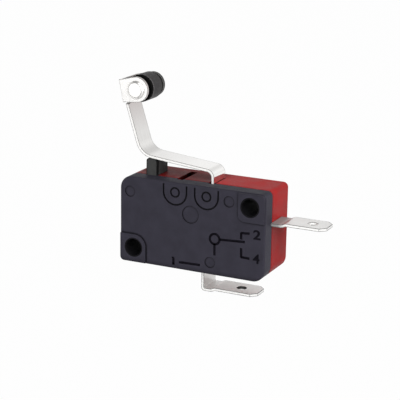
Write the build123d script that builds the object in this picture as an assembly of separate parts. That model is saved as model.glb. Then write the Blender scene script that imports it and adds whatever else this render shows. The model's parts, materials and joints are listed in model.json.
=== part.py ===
from build123d import *

import os
from math import cos, hypot, radians, sin, tan

# Lever micro switch: a snap-action switch in a two-part moulded housing.
# A bent steel lever with a roller pushes a plunger. Inside, the plunger tips a drive arm, a tension
# spring pulls across the pivot of the contact arm, and the contact arm leaves its fixed contact.
# All sizes are in millimetres.
#
# Frame: the origin is the axis of the lower mounting hole on the back face. +X runs towards the
# terminal end, +Z towards the lever side, and the cover faces -Y. A depth is measured forwards from
# the back face, so a feature at depth d lies at Y = -d.

# Housing: outline, split and walls
hole_pitch_x = 22.2
hole_pitch_z = 10.3
hole_radius = 1.55
end_margin = 2.8
bottom_margin = 2.8
top_margin = 2.5
body_depth = 10.3
pad_height = 0.3
split_depth = 7.0
side_wall = 1.2
back_wall = 1.2
front_wall = 1.3
boss_wall = 1.25
spigot_wall = 0.55
spigot_length = 3.4
spigot_gap = 0.04
corner_radius = 0.9
free_corner_radius = 2.2
rim_round = 0.3
split_bevel = 0.12
smallest_round = 0.1

# Pads round the mounting holes on the cover's face
lower_pad_reach_x = 2.35
lower_pad_reach_z = 2.4
lower_pad_corner = 2.2
upper_pad_reach_x = 2.2
upper_pad_reach_z = 2.65
upper_pad_corner = 1.2

# Lever hinge and the spare hinge place beside it
hinge_x = 13.95
hinge_z = 11.05
spare_hinge_offset = 6.0
hinge_slot_left = 0.85
hinge_slot_right = 0.35
spare_slot_extra = 1.0
socket_wall = 1.6
socket_end_gap = 0.15
lug_clearance = 0.06
lever_side_gap = 0.15

# Raised outline of the hinge lugs and the round marks on the cover
groove_width = 0.3
groove_depth = 0.25
groove_from_top = 0.4
ring_radius = 0.95
round_mark_depth = 0.15
round_mark_small = 1.0
round_mark_large = 1.6
corner_mark_from_end = 1.95
corner_mark_from_top = 2.7
side_mark_offset = 4.25
side_mark_drop = 0.3
bottom_mark_offset = 0.85
bottom_mark_from_bottom = 2.2
middle_mark_drop = 3.6

# Lever
lever_thickness = 0.5
lever_width = 4.6
lever_centre_depth = 5.3
limb_slope = 5.85
limb_rest_height = 15.85
elbow_offset = 2.02
upright_lean = 17.5
upright_length = 9.2
elbow_radius = 3.2
heel_radius = 1.2
lug_height = 1.0
lug_length = 0.75
fork_gap = 5.6
fork_lean = 12.0
fork_height = 3.9
fork_fold_radius = 0.3
fork_notch_height = 0.45
fork_notch_depth = 0.55
ear_end_radius = 2.2

# Roller and its rivet
roller_x = -0.43
roller_z = 27.98
roller_radius = 2.4
roller_width = 4.1
roller_rim_round = 0.15
roller_hub_radius = 1.7
roller_hub_height = 0.55
rivet_radius = 1.0
rivet_head_radius = 1.6
rivet_head_height = 0.55
rivet_head_bevel = 0.33
rivet_hole_gap = 0.02
roller_clearance = 0.05

# Plunger
plunger_x = 2.0
plunger_width = 2.05
plunger_depth = 4.15
plunger_past_split = 0.35
plunger_plate = 0.2
plunger_groove_width = 0.4
plunger_groove_depth = 0.2
plunger_crown = 2.6
plunger_corner = 0.55
plunger_flange_overhang = 0.6
plunger_flange_thickness = 0.95
plunger_flange_gap = 0.1
plunger_foot_inset = 0.75
foot_crown = 1.3
plunger_gap = 0.1
lever_gap = 0.04

# Drive arm and its peg
drive_pivot_x = 10.6
drive_pivot_z = 8.4
drive_peg_radius = 0.8
drive_barrel_wall = 0.6
drive_arm_thickness = 0.9
drive_arm_width = 2.6
drive_arm_tip = 1.3
drive_leg_x = 5.6
drive_leg_width = 0.8
drive_leg_depth = 1.6
drive_leg_bottom = 5.6
drive_shoulder_wall = 0.45
pivot_clearance = 0.05
drive_gap = 0.1
drive_side_gap = 0.15

# Terminals
tab_width = 4.8
tab_thickness = 0.5
tab_chamfer = 1.05
tab_hole_radius = 0.85
common_hole_from_tip = 3.65
nc_hole_from_tip = 3.0
tab_step = 0.3
step_run = 0.7
slot_gap = 0.03
common_limb_x = 12.35
common_tab_top = -6.05
common_tab_reach = 10.15
common_bend_radius = 0.4
common_step_start = 1.6
common_floor_z = 2.75
bracket_post_x = 8.45
bracket_post_top = 6.4
bracket_bend_radius = 0.6
bracket_slot_width = 2.1
bracket_slot_bottom = 4.4
nc_strip_top = 7.25
nc_strip_start = 17.9
nc_tab_reach = 9.7
nc_step_start = 1.9
nc_ledge_reach = 1.9
nc_ledge_thickness = 1.2

# Contacts and the contact arm
arm_pivot_z = 5.5
arm_thickness = 0.3
arm_width = 3.6
arm_end_x = 20.6
arm_window_end = 15.6
arm_window_width = 2.2
knife_clearance = 0.05
contact_x = 19.6
contact_radius = 1.1
contact_head = 0.5
contact_edge_round = 0.15
fixed_contact_head = 0.55
rivet_shank_radius = 0.55
rivet_clinch_radius = 0.8
rivet_clinch_height = 0.2
shank_clearance = 0.01
contact_gap = 0.03
contact_travel_angle = 5.4
stop_gap = 0.05

# Snap spring
spring_radius = 0.65
spring_wire = 0.26
spring_turns = 10
spring_end_gap = 0.12

# How far a cut runs past the surface that it opens
overshoot = 1.0

# Places that follow from the sizes above
left = -end_margin
right = hole_pitch_x + end_margin
bottom = -bottom_margin
top = hole_pitch_z + top_margin
face_depth = body_depth - pad_height
cavity_front = face_depth - front_wall
inner_right = right - side_wall
inner_bottom = bottom + side_wall
inner_top = top - side_wall
boss_radius = hole_radius + boss_wall
spigot_radius = hole_radius + spigot_wall
mid_depth = body_depth / 2
hole_places = ((0, 0), (hole_pitch_x, hole_pitch_z))
spare_hinge_x = hinge_x - spare_hinge_offset
hinge_places = (hinge_x, spare_hinge_x)
socket_radius = hypot(lever_thickness, lug_height) / 2 + lug_clearance
mark_radius = socket_radius + socket_wall
tab_near = mid_depth - tab_width / 2
tab_far = mid_depth + tab_width / 2
lever_near = lever_centre_depth - lever_width / 2
lever_far = lever_centre_depth + lever_width / 2
fork_near = lever_centre_depth - fork_gap / 2 - lever_thickness
fork_far = lever_centre_depth + fork_gap / 2 + lever_thickness
plunger_front = split_depth + plunger_past_split
plunger_near = plunger_front - plunger_depth
drive_bore_radius = drive_peg_radius + pivot_clearance
drive_barrel_radius = drive_bore_radius + drive_barrel_wall
drive_top = drive_pivot_z + drive_barrel_radius
drive_near = mid_depth - drive_arm_width / 2
drive_far = mid_depth + drive_arm_width / 2
nc_strip_z = nc_strip_top - tab_thickness / 2
arm_pivot_x = bracket_post_x + tab_thickness / 2
arm_bottom = arm_pivot_z - arm_thickness / 2
arm_top = arm_pivot_z + arm_thickness / 2


def across(profile, near, far):
    """Solid whose side view is the profile (X, Z), from depth near to depth far."""
    return extrude(Plane.XZ.offset(near) * profile, far - near)


def block(x0, x1, z0, z1, near, far):
    """Straight block between two corners of the side view."""
    centre = Pos((x0 + x1) / 2, (z0 + z1) / 2)
    return across(centre * Rectangle(x1 - x0, z1 - z0), near, far)


def rod(x, z, radius, near, far):
    """Round bar along the depth."""
    return across(Pos(x, z) * Circle(radius), near, far)


def upright_round(radius, z0, z1):
    """Round bar along Z at the contacts, on the middle of the depth."""
    return Pos(contact_x, -mid_depth, (z0 + z1) / 2) * Cylinder(radius, z1 - z0)


def front_face(solid):
    """Face of a solid that looks towards the cover side."""
    return solid.faces().sort_by(Axis.Y)[0]


def back_face(solid):
    """Face of a solid that looks towards the mounting side."""
    return solid.faces().sort_by(Axis.Y)[-1]


def body_outline(inset=0.0):
    """Side view of the housing. The two corners without a screw hole are the rounder ones."""
    corners = [
        (left + inset, bottom + inset),
        (right - inset, bottom + inset),
        (right - inset, top - inset),
        (left + inset, top - inset),
    ]
    held = max(corner_radius - inset, smallest_round)
    free = max(free_corner_radius - inset, smallest_round)
    return make_face(FilletPolyline(*corners, radius=[held, free, held, free], close=True))


def hinge_lug_outline(x):
    """U shape of the lug that holds one hinge socket, from its round foot up into the top wall."""
    stem_top = inner_top + side_wall / 2
    stem = Pos(x, (hinge_z + stem_top) / 2) * Rectangle(2 * mark_radius, stem_top - hinge_z)
    square = Pos(x, hinge_z - mark_radius / 2) * Rectangle(2 * mark_radius, mark_radius)
    return stem + (square & Pos(x, hinge_z) * Circle(mark_radius))


def bent_strip(points, radii, near, far, thickness):
    """Strip of sheet metal that follows a line in the side view."""
    line = FilletPolyline(*points, radius=radii)
    return across(trace(line, thickness), near, far)


def tab_end(strip, hole_from_tip):
    """Bevelled corners and the round hole at the free end of a push-on tab."""
    tip_edges = strip.edges().filter_by(Axis.Z).group_by(Axis.X)[-1]
    strip = chamfer(tip_edges, tab_chamfer)
    tip = strip.faces().sort_by(Axis.X)[-1].center()
    hole = Pos(tip.X - hole_from_tip, -mid_depth, tip.Z) * Cylinder(tab_hole_radius, overshoot)
    return strip - hole


def mounting_holes(solid):
    """Both screw holes, right through."""
    for x, z in hole_places:
        solid -= rod(x, z, hole_radius, -overshoot, body_depth + overshoot)
    return solid


def hinge_slots(solid):
    """Slots through the top wall, one at each place where the lever's tail can go in."""
    hinge_near = lever_near - lever_side_gap
    far = lever_far + lever_side_gap
    for x, near in ((hinge_x, hinge_near), (spare_hinge_x, hinge_near - spare_slot_extra)):
        x0 = x - hinge_slot_left
        x1 = x + hinge_slot_right
        solid -= block(x0, x1, inner_top - overshoot, top + overshoot, near, far)
    return solid


def terminal_slots(solid):
    """Slots through the bottom and the end wall for the two terminals."""
    half = tab_thickness / 2 + slot_gap
    near = tab_near - slot_gap
    far = tab_far + slot_gap
    x0 = common_limb_x - half
    x1 = common_limb_x + half
    solid -= block(x0, x1, bottom - overshoot, inner_bottom + overshoot, near, far)
    z0 = nc_strip_z - half
    z1 = nc_strip_z + half
    return solid - block(inner_right - nc_ledge_reach, right + overshoot, z0, z1, near, far)


def plunger_opening(solid):
    """Guide for the plunger in the top wall."""
    x0 = plunger_x - plunger_width / 2 - plunger_gap
    x1 = plunger_x + plunger_width / 2 + plunger_gap
    near = plunger_near - plunger_gap
    far = plunger_front + plunger_gap
    return solid - block(x0, x1, inner_top - overshoot, top + overshoot, near, far)


def stop_top():
    """Height of the contact arm's lower stop, just under the head of the tipped contact."""
    reach = contact_x + contact_radius - arm_pivot_x
    drop = arm_thickness / 2 + contact_head
    angle = radians(contact_travel_angle)
    return arm_pivot_z - reach * sin(angle) - drop * cos(angle) - stop_gap


def make_case():
    """Open moulded box with the sockets, seats and stops that hold the works."""
    root = back_wall / 2
    shell = across(body_outline(), 0, split_depth)
    shell = fillet(back_face(shell).edges(), rim_round)
    shell = chamfer(front_face(shell).edges(), split_bevel)
    shell -= across(body_outline(side_wall), back_wall, split_depth + overshoot)
    for x, z in hole_places:
        boss = rod(x, z, boss_radius, root, split_depth)
        shell += boss & across(body_outline(split_bevel), 0, split_depth)
    for x in hinge_places:
        shell += across(hinge_lug_outline(x), root, lever_near - lever_side_gap)
    # Peg that the drive arm turns on, with a shoulder behind the arm
    shoulder_radius = drive_peg_radius + drive_shoulder_wall
    shell += rod(drive_pivot_x, drive_pivot_z, drive_peg_radius, root, drive_far)
    shell += rod(drive_pivot_x, drive_pivot_z, shoulder_radius, root, drive_near - drive_side_gap)
    # Seat under the common bracket
    floor = bottom + side_wall / 2
    seat_top = common_floor_z - tab_thickness / 2 - slot_gap
    seat_right = common_limb_x - bracket_bend_radius
    shell += block(bracket_post_x, seat_right, floor, seat_top, root, split_depth)
    # Ledges below and above the normally closed strip
    strip_bottom = nc_strip_z - tab_thickness / 2 - slot_gap
    ledge_left = inner_right - nc_ledge_reach
    ledge_right = right - side_wall / 2
    ledge_bottom = strip_bottom - nc_ledge_thickness
    shell += block(ledge_left, ledge_right, ledge_bottom, hole_pitch_z, root, split_depth)
    # Stop for the contact arm, where a second fixed contact could sit
    stop_left = contact_x - contact_radius
    stop_right = contact_x + contact_radius
    stop_far = mid_depth + arm_width / 2
    shell += block(stop_left, stop_right, floor, stop_top(), root, stop_far)
    shell = plunger_opening(terminal_slots(hinge_slots(shell)))
    for x in hinge_places:
        socket_bottom = lever_near - lug_length - socket_end_gap
        shell -= rod(x, hinge_z, socket_radius, socket_bottom, lever_near)
    # Counterbores for the cover's spigots
    counterbore_bottom = split_depth - spigot_length - spigot_gap
    for x, z in hole_places:
        shell -= rod(x, z, spigot_radius + spigot_gap, counterbore_bottom, split_depth + overshoot)
    return mounting_holes(shell)


def lug_groove(x):
    """Groove on the cover's face along the outline of a hinge lug."""
    ring = Circle(mark_radius + groove_width / 2) - Circle(mark_radius - groove_width / 2)
    lower_half = Pos(0, -mark_radius) * Rectangle(mark_radius * 3, mark_radius * 2)
    curve = ring & lower_half
    limb_length = top - groove_from_top - hinge_z
    for side in (-1, 1):
        curve += Pos(side * mark_radius, limb_length / 2) * Rectangle(groove_width, limb_length)
    return Pos(x, hinge_z) * curve


def pad_outline(inner_x, inner_z, outer_x, outer_z, corner):
    """Pad from an inner corner, which is rounded, out past a corner of the housing."""
    centre = Pos((inner_x + outer_x) / 2, (inner_z + outer_z) / 2)
    return centre * RectangleRounded(abs(outer_x - inner_x), abs(outer_z - inner_z), corner)


def round_marks():
    """Places and radii of the shallow round marks on the cover's face."""
    small = round_mark_small
    return (
        (left + corner_mark_from_end, top - corner_mark_from_top, small),
        (hinge_x + side_mark_offset, hinge_z - side_mark_drop, small),
        (hinge_x + bottom_mark_offset, bottom + bottom_mark_from_bottom, small),
        ((hinge_x + spare_hinge_x) / 2, hinge_z - middle_mark_drop, round_mark_large),
    )


def make_cover():
    """Moulded lid with raised pads round the screw holes and marks over its inner lugs."""
    root = cavity_front + front_wall / 2
    shell = across(body_outline(), split_depth, face_depth)
    shell = fillet(front_face(shell).edges(), rim_round)
    shell = chamfer(back_face(shell).edges(), split_bevel)
    lower_pad = pad_outline(
        lower_pad_reach_x,
        lower_pad_reach_z,
        left - lower_pad_corner,
        bottom - lower_pad_corner,
        lower_pad_corner,
    )
    upper_pad = pad_outline(
        hole_pitch_x - upper_pad_reach_x,
        hole_pitch_z - upper_pad_reach_z,
        right + upper_pad_corner,
        top + upper_pad_corner,
        upper_pad_corner,
    )
    pad_limit = across(body_outline(rim_round / 2), root, body_depth)
    for pad in (lower_pad, upper_pad):
        shell += across(pad, root, body_depth) & pad_limit
    shell -= across(body_outline(side_wall), split_depth - overshoot, cavity_front)
    for x, z in hole_places:
        boss = rod(x, z, boss_radius, split_depth, root)
        shell += boss & across(body_outline(split_bevel), split_depth, body_depth)
        shell += rod(x, z, spigot_radius, split_depth - spigot_length, root)
    for x in hinge_places:
        shell += across(hinge_lug_outline(x), lever_far + lever_side_gap, root)
    # Boss that keeps the drive arm on its peg
    keeper_radius = drive_peg_radius + drive_shoulder_wall
    shell += rod(drive_pivot_x, drive_pivot_z, keeper_radius, drive_far + drive_side_gap, root)
    shell = plunger_opening(terminal_slots(hinge_slots(shell)))
    for x in hinge_places:
        socket_bottom = lever_far + lug_length + socket_end_gap
        shell -= rod(x, hinge_z, socket_radius, lever_far, socket_bottom)
        shell -= across(lug_groove(x), face_depth - groove_depth, body_depth)
        ring = Circle(ring_radius) - Circle(ring_radius - groove_width)
        shell -= across(Pos(x, hinge_z) * ring, face_depth - groove_depth, body_depth)
    for x, z, radius in round_marks():
        shell -= rod(x, z, radius, face_depth - round_mark_depth, face_depth + overshoot)
    return mounting_holes(shell)


def lever_line():
    """Points of the lever's middle line in the side view, from its tail to the top of the fork."""
    slope = tan(radians(limb_slope))
    limb_z = limb_rest_height + lever_gap + lever_thickness / 2
    elbow_x = plunger_x - elbow_offset
    elbow_z = limb_z + slope * elbow_offset
    foot_x = elbow_x - tan(radians(upright_lean)) * upright_length
    foot_z = elbow_z + upright_length
    head_x = foot_x - tan(radians(fork_lean)) * fork_height
    return [
        (hinge_x, hinge_z - lug_height / 2),
        (hinge_x, limb_z - slope * (hinge_x - plunger_x)),
        (elbow_x, elbow_z),
        (foot_x, foot_z),
        (head_x, foot_z + fork_height),
    ]


def make_lever():
    """Bent steel strip: tail with side lugs, sloping limb, leaning upright and a fork at the top."""
    radii = [heel_radius, elbow_radius, elbow_radius]
    strip = bent_strip(lever_line(), radii, lever_near, lever_far, lever_thickness)
    # Side lugs that turn in the housing's sockets
    lug_x0 = hinge_x - lever_thickness / 2
    lug_x1 = hinge_x + lever_thickness / 2
    lug_z0 = hinge_z - lug_height / 2
    lug_z1 = hinge_z + lug_height / 2
    strip += block(lug_x0, lug_x1, lug_z0, lug_z1, lever_near - lug_length, lever_far + lug_length)
    # Wide head of the strip, folded into the two ears, above a relief notch in each edge
    foot, head_end = lever_line()[-2:]
    head_line = Line(foot, head_end)
    head = across(trace(head_line, lever_thickness), fork_near, fork_far)
    direction = head_line @ 1 - head_line @ 0
    fold_edges = head.edges().filter_by(Axis((0, 0, 0), (direction.X, 0, direction.Y)))
    strip += fillet(fold_edges.group_by(Axis.X)[0], fork_fold_radius)
    # Ears, each rounded about the rivet
    end = Pos(roller_x, roller_z) * Circle(ear_end_radius)
    ear = make_hull([end.edge(), head_line.edge()])
    for near in (fork_near, fork_far - lever_thickness):
        strip += across(ear, near, near + lever_thickness)
    notch = (foot[0] - lever_thickness, foot[0] + lever_thickness, foot[1] - fork_notch_height, foot[1])
    strip -= block(*notch, lever_near - overshoot, lever_near + fork_notch_depth)
    strip -= block(*notch, lever_far - fork_notch_depth, lever_far + overshoot)
    hole_radius_in_ear = rivet_radius + rivet_hole_gap
    return strip - rod(roller_x, roller_z, hole_radius_in_ear, fork_near - overshoot, fork_far + overshoot)


def make_roller():
    """Moulded roller with a plain bore, rounded rims and a low hub towards each ear."""
    near = lever_centre_depth - roller_width / 2
    far = lever_centre_depth + roller_width / 2
    wheel = rod(roller_x, roller_z, roller_radius, near, far)
    wheel = fillet(wheel.edges().filter_by(GeomType.CIRCLE), roller_rim_round)
    near -= roller_hub_height
    far += roller_hub_height
    wheel += rod(roller_x, roller_z, roller_hub_radius, near, far)
    bore_radius = rivet_radius + roller_clearance
    return wheel - rod(roller_x, roller_z, bore_radius, near - overshoot, far + overshoot)


def make_roller_pin():
    """Rivet through both ears, with a bevelled head at each end."""
    pin = rod(roller_x, roller_z, rivet_radius, fork_near, fork_far)
    front_head = rod(roller_x, roller_z, rivet_head_radius, fork_far, fork_far + rivet_head_height)
    back_head = rod(roller_x, roller_z, rivet_head_radius, fork_near - rivet_head_height, fork_near)
    front_head = chamfer(front_face(front_head).edges(), rivet_head_bevel)
    back_head = chamfer(back_face(back_head).edges(), rivet_head_bevel)
    return pin + front_head + back_head


def plunger_stem(foot_z, inset, near, far):
    """Length of the plunger's crowned stem, which is smaller by the inset at its sides and top."""
    width = plunger_width - 2 * inset
    stem_top = limb_rest_height - inset
    height = stem_top - foot_z
    outline = Pos(plunger_x, foot_z + height / 2) * Rectangle(width, height)
    crown = Rot(0, 0, 90) * SlotCenterToCenter(2 * plunger_crown, 2 * plunger_crown)
    stem = across(outline & Pos(plunger_x, stem_top - 2 * plunger_crown) * crown, near, far)
    return fillet(stem.edges().filter_by(Axis.Y).group_by(Axis.Z)[-1], plunger_corner)


def make_plunger():
    """Moulded plunger: crowned head, a flange that stops it under the top wall, and a rounded foot."""
    flange_top = inner_top - plunger_flange_gap
    flange_bottom = flange_top - plunger_flange_thickness
    foot_bottom = drive_top + drive_gap
    # A groove round the head sets off its front plate
    groove_far = plunger_front - plunger_plate
    groove_near = groove_far - plunger_groove_width
    head = plunger_stem(flange_bottom, 0, plunger_near, groove_near)
    head += plunger_stem(flange_bottom, plunger_groove_depth, groove_near, groove_far)
    head += plunger_stem(flange_bottom, 0, groove_far, plunger_front)
    flange_x0 = plunger_x - plunger_width / 2 - plunger_flange_overhang
    flange_x1 = plunger_x + plunger_width / 2 + plunger_flange_overhang
    flange = block(flange_x0, flange_x1, flange_bottom, flange_top, plunger_near, plunger_front)
    foot_height = flange_bottom - foot_bottom
    foot = Pos(plunger_x, foot_bottom + foot_height / 2) * Rectangle(plunger_width, foot_height)
    foot = foot & Pos(plunger_x, foot_bottom + foot_crown) * Circle(foot_crown)
    foot_near = plunger_near + plunger_foot_inset
    foot_far = plunger_front - plunger_foot_inset
    return head + flange + across(foot, foot_near, foot_far)


def make_drive_arm():
    """Rocker between the plunger and the spring, with a barrel on the case's peg."""
    arm_underside = drive_top - drive_arm_thickness
    barrel = rod(drive_pivot_x, drive_pivot_z, drive_barrel_radius, drive_near, drive_far)
    beam = block(drive_arm_tip, drive_pivot_x, arm_underside, drive_top, drive_near, drive_far)
    leg_x0 = drive_leg_x - drive_leg_width / 2
    leg_x1 = drive_leg_x + drive_leg_width / 2
    leg_near = mid_depth - drive_leg_depth / 2
    leg_far = mid_depth + drive_leg_depth / 2
    leg = block(leg_x0, leg_x1, drive_leg_bottom, drive_top, leg_near, leg_far)
    bore = rod(drive_pivot_x, drive_pivot_z, drive_bore_radius, 0, body_depth)
    return barrel + beam + leg - bore


def make_common_terminal():
    """One bent strip: tab, limb through the bottom wall, shelf, and a post with knife grooves."""
    tab_z = common_tab_top - tab_thickness / 2
    root_z = tab_z - tab_step
    step_x = common_limb_x + common_step_start
    points = [
        (common_limb_x + common_tab_reach, tab_z),
        (step_x + step_run, tab_z),
        (step_x, root_z),
        (common_limb_x, root_z),
        (common_limb_x, common_floor_z),
        (bracket_post_x, common_floor_z),
        (bracket_post_x, bracket_post_top),
    ]
    radii = [
        tab_thickness,
        tab_thickness,
        common_bend_radius,
        bracket_bend_radius,
        bracket_bend_radius,
    ]
    strip = bent_strip(points, radii, tab_near, tab_far, tab_thickness)
    strip = tab_end(strip, common_hole_from_tip)
    # Slot in the post that the spring passes through
    slot_near = mid_depth - bracket_slot_width / 2
    slot_far = mid_depth + bracket_slot_width / 2
    slot_x0 = bracket_post_x - tab_thickness
    slot_x1 = bracket_post_x + tab_thickness
    slot_top = bracket_post_top + overshoot
    strip -= block(slot_x0, slot_x1, bracket_slot_bottom, slot_top, slot_near, slot_far)
    groove_radius = arm_thickness / 2 + knife_clearance
    return strip - rod(arm_pivot_x, arm_pivot_z, groove_radius, 0, body_depth)


def make_nc_terminal():
    """Normally closed terminal: a stepped strip from the fixed contact out to the tab."""
    tab_z = nc_strip_z + tab_step
    step_x = right + nc_step_start
    points = [
        (nc_strip_start, nc_strip_z),
        (step_x, nc_strip_z),
        (step_x + step_run, tab_z),
        (right + nc_tab_reach, tab_z),
    ]
    strip = bent_strip(points, [tab_thickness, tab_thickness], tab_near, tab_far, tab_thickness)
    hole_in_strip = rivet_shank_radius + shank_clearance
    strip = tab_end(strip, nc_hole_from_tip)
    return strip - upright_round(hole_in_strip, arm_top, nc_strip_top + overshoot)


def make_nc_contact():
    """Fixed contact: its face below the normally closed strip, clinched above it."""
    sheet_bottom = nc_strip_top - tab_thickness
    shank = upright_round(rivet_shank_radius, sheet_bottom, nc_strip_top)
    head = upright_round(contact_radius, sheet_bottom - fixed_contact_head, sheet_bottom)
    head = fillet(head.faces().sort_by(Axis.Z)[0].edges(), contact_edge_round)
    clinch = upright_round(rivet_clinch_radius, nc_strip_top, nc_strip_top + rivet_clinch_height)
    return shank + head + clinch


def make_moving_contact():
    """Moving contact, with a face on both sides of the contact arm."""
    face_top = nc_strip_top - tab_thickness - fixed_contact_head - contact_gap
    shank = upright_round(rivet_shank_radius, arm_bottom, arm_top)
    upper = upright_round(contact_radius, arm_top, face_top)
    upper = fillet(upper.faces().sort_by(Axis.Z)[-1].edges(), contact_edge_round)
    lower = upright_round(contact_radius, arm_bottom - contact_head, arm_bottom)
    lower = fillet(lower.faces().sort_by(Axis.Z)[0].edges(), contact_edge_round)
    return shank + upper + lower


def make_contact_arm():
    """Flat spring-metal arm with a window for the spring and two legs in the knife grooves."""
    near = mid_depth - arm_width / 2
    far = mid_depth + arm_width / 2
    arm = block(arm_pivot_x, arm_end_x, arm_bottom, arm_top, near, far)
    arm += rod(arm_pivot_x, arm_pivot_z, arm_thickness / 2, near, far)
    window_x0 = arm_pivot_x - arm_thickness
    window_near = mid_depth - arm_window_width / 2
    window_far = mid_depth + arm_window_width / 2
    arm -= block(window_x0, arm_window_end, arm_bottom, arm_top, window_near, window_far)
    # Upturned hook for the spring at the end of the window
    hook_x1 = arm_window_end + arm_thickness
    hook_top = arm_top + spring_radius
    hook_near = mid_depth - spring_radius
    hook_far = mid_depth + spring_radius
    arm += block(arm_window_end, hook_x1, arm_bottom, hook_top, hook_near, hook_far)
    return arm - upright_round(rivet_shank_radius + shank_clearance, 0, nc_strip_top)


def make_snap_spring():
    """Tension spring from the drive arm's leg to the hook on the contact arm."""
    start_x = drive_leg_x + drive_leg_width / 2 + spring_end_gap
    start_z = drive_leg_bottom + spring_radius
    end_x = arm_window_end - spring_end_gap
    end_z = arm_top
    coil_length = hypot(end_x - start_x, end_z - start_z) - spring_wire
    path = Helix(coil_length / spring_turns, coil_length, spring_radius)
    section = Plane(path @ 0, z_dir=path % 0) * Circle(spring_wire / 2)
    coil = sweep(section, path, is_frenet=True)
    axis = Vector(end_x - start_x, 0, end_z - start_z).normalized()
    seat = Vector(start_x, -mid_depth, start_z) + axis * (spring_wire / 2)
    return Plane(seat, x_dir=(0, 1, 0), z_dir=axis) * coil


makers = {
    "case": make_case,
    "cover": make_cover,
    "lever": make_lever,
    "roller": make_roller,
    "roller_pin": make_roller_pin,
    "plunger": make_plunger,
    "drive_arm": make_drive_arm,
    "common_terminal": make_common_terminal,
    "nc_terminal": make_nc_terminal,
    "nc_contact": make_nc_contact,
    "contact_arm": make_contact_arm,
    "moving_contact": make_moving_contact,
    "snap_spring": make_snap_spring,
}

colours = {
    "case": (0.62, 0.13, 0.12),
    "cover": (0.16, 0.16, 0.19),
    "lever": (0.80, 0.80, 0.78),
    "roller": (0.08, 0.08, 0.08),
    "roller_pin": (0.86, 0.86, 0.84),
    "plunger": (0.12, 0.12, 0.12),
    "drive_arm": (0.30, 0.30, 0.28),
    "common_terminal": (0.85, 0.84, 0.80),
    "nc_terminal": (0.85, 0.84, 0.80),
    "nc_contact": (0.90, 0.90, 0.88),
    "contact_arm": (0.80, 0.62, 0.35),
    "moving_contact": (0.90, 0.90, 0.88),
    "snap_spring": (0.75, 0.75, 0.75),
}

os.makedirs("parts", exist_ok=True)
for name, maker in makers.items():
    piece = maker()
    piece.label = name
    piece.color = Color(*colours[name])
    export_step(piece, f"parts/{name}.step")
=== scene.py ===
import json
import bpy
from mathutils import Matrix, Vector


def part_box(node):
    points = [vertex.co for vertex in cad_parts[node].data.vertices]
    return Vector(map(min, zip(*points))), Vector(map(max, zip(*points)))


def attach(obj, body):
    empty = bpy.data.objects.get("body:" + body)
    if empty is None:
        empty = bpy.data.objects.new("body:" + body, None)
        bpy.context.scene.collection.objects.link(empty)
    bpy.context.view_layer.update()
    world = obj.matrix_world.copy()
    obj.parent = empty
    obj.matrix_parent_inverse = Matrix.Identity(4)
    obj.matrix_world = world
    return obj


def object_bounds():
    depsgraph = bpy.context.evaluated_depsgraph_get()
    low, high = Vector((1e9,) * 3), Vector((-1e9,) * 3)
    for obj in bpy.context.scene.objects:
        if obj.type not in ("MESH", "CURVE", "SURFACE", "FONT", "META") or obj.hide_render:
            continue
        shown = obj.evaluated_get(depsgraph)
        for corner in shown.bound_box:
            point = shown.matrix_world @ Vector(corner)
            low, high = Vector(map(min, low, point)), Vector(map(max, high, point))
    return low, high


bl_info = {
    "name": "Lever micro switch",
    "version": (1, 0, 0),
    "blender": (4, 5, 0),
    "location": "3D View > Sidebar > Micro switch",
    "description": "Finishes, printed contact diagram and studio of a roller lever micro switch",
    "category": "Object",
}

from collections import namedtuple
from math import cos, pi, radians, sin

import bpy
from mathutils import Matrix, Vector

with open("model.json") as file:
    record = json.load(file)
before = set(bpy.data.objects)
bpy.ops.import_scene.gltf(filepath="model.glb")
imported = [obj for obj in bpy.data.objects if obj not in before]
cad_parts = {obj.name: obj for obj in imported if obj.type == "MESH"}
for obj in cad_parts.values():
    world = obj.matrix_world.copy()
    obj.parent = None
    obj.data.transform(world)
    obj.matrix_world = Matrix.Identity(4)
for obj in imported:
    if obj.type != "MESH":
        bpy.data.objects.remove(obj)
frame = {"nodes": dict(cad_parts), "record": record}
cad_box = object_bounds()
nodes = frame["nodes"]

MM = 0.001

# Directions of the switch's frame
LEFT = (-1.0, 0.0, 0.0)
RIGHT = (1.0, 0.0, 0.0)
FRONT = (0.0, -1.0, 0.0)
BACK = (0.0, 1.0, 0.0)
DOWN = (0.0, 0.0, -1.0)
UP = (0.0, 0.0, 1.0)

# Shares of a place that count as distance from an axis along Y, or along Z
AROUND_Y = (1.0, 0.0, 1.0)
AROUND_Z = (1.0, 1.0, 0.0)

# Places on the cover's printed face, in millimetres along X and Z. The last two strokes draw the
# number 1.
RING_CENTRE = (15.67, 3.78)
STROKES = (
    ((16.60, 3.83), (21.32, 4.10)),
    ((20.62, 4.46), (20.62, 5.60), (22.16, 5.70)),
    ((20.67, 2.90), (20.71, 1.30), (22.25, 1.28)),
    ((15.65, 2.93), (15.69, 0.84)),
    ((8.86, -1.44), (12.96, -1.34)),
    ((7.55, -0.90), (7.80, -0.66), (7.80, -1.90)),
    ((7.56, -1.90), (8.04, -1.90)),
)
# The numbers, their places and how much wider they are than the font's
DIGITS = (
    ("2", 23.51, 5.55, 1.24),
    ("4", 23.51, 1.31, 1.05),
)
# Height of a number in Blender's font, as a share of the font's size
FONT_DIGIT_HEIGHT = 0.72
# Height of the pads round the screw holes over the printed face
PAD_HEIGHT = 0.0003
# Corners of the diagram's ring, and of one rounding where a line turns
RING_SIDES = 64
TURN_SIDES = 4

# Holes with painted shade on their wall: the screw holes, which are the record's bores, and the
# bottom tab's. The painted shade of a screw hole reaches past its radius by a margin.
SCREW_HOLES = [mount for mount in frame["record"]["mounts"] if mount["kind"] == "bore"]
SCREW_HOLE_MARGIN = 0.00021
TAB_HOLE_PLACE = (0.01885, -0.00515, 0.0)
TAB_HOLE_RADIUS = 0.00087

# Roughness of the painted shade along edges, on the walls of holes and on the far ear's rim
DULL = 0.7
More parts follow.
